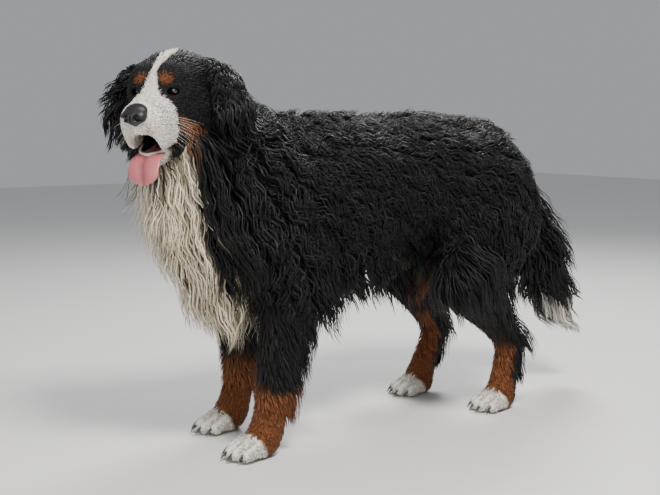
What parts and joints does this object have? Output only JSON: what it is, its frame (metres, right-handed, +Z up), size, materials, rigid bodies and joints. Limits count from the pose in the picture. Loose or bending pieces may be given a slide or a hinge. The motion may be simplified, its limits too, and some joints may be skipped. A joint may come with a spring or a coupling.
{
  "type": "bernese mountain dog",
  "caption": "Life-size still model of a long-coated mountain dog standing on four paws, head turned to its left and mouth open.",
  "frame": {"origin": "on the floor under the middle of the dog's bounding box", "axes": "-Y is the way the dog faces, +X its left side, +Z up from the floor"},
  "size_m": [0.4052, 1.2918, 0.8129],
  "materials": {
    "coat": "long glossy wavy hair, black with rust and white markings",
    "paw_fur": "short white hair with rust above",
    "leather_nose": "moist black nose leather",
    "tongue": "moist pink",
    "eye": "wet dark brown"
  },
  "bodies": {
    "root": {"head": "coat", "nose": "leather_nose", "lower_jaw": "coat", "tongue": "tongue", "eye_left": "eye", "eye_right": "eye", "ear_left": "coat", "ear_right": "coat", "torso": "coat", "neck": "coat", "tail": "coat", "foreleg_left": "coat", "hindleg_left": "coat", "forepaw_left": "paw_fur", "hindpaw_left": "paw_fur", "foreleg_right": "coat", "hindleg_right": "coat", "forepaw_right": "paw_fur", "hindpaw_right": "paw_fur"}
  },
  "joints": []
}
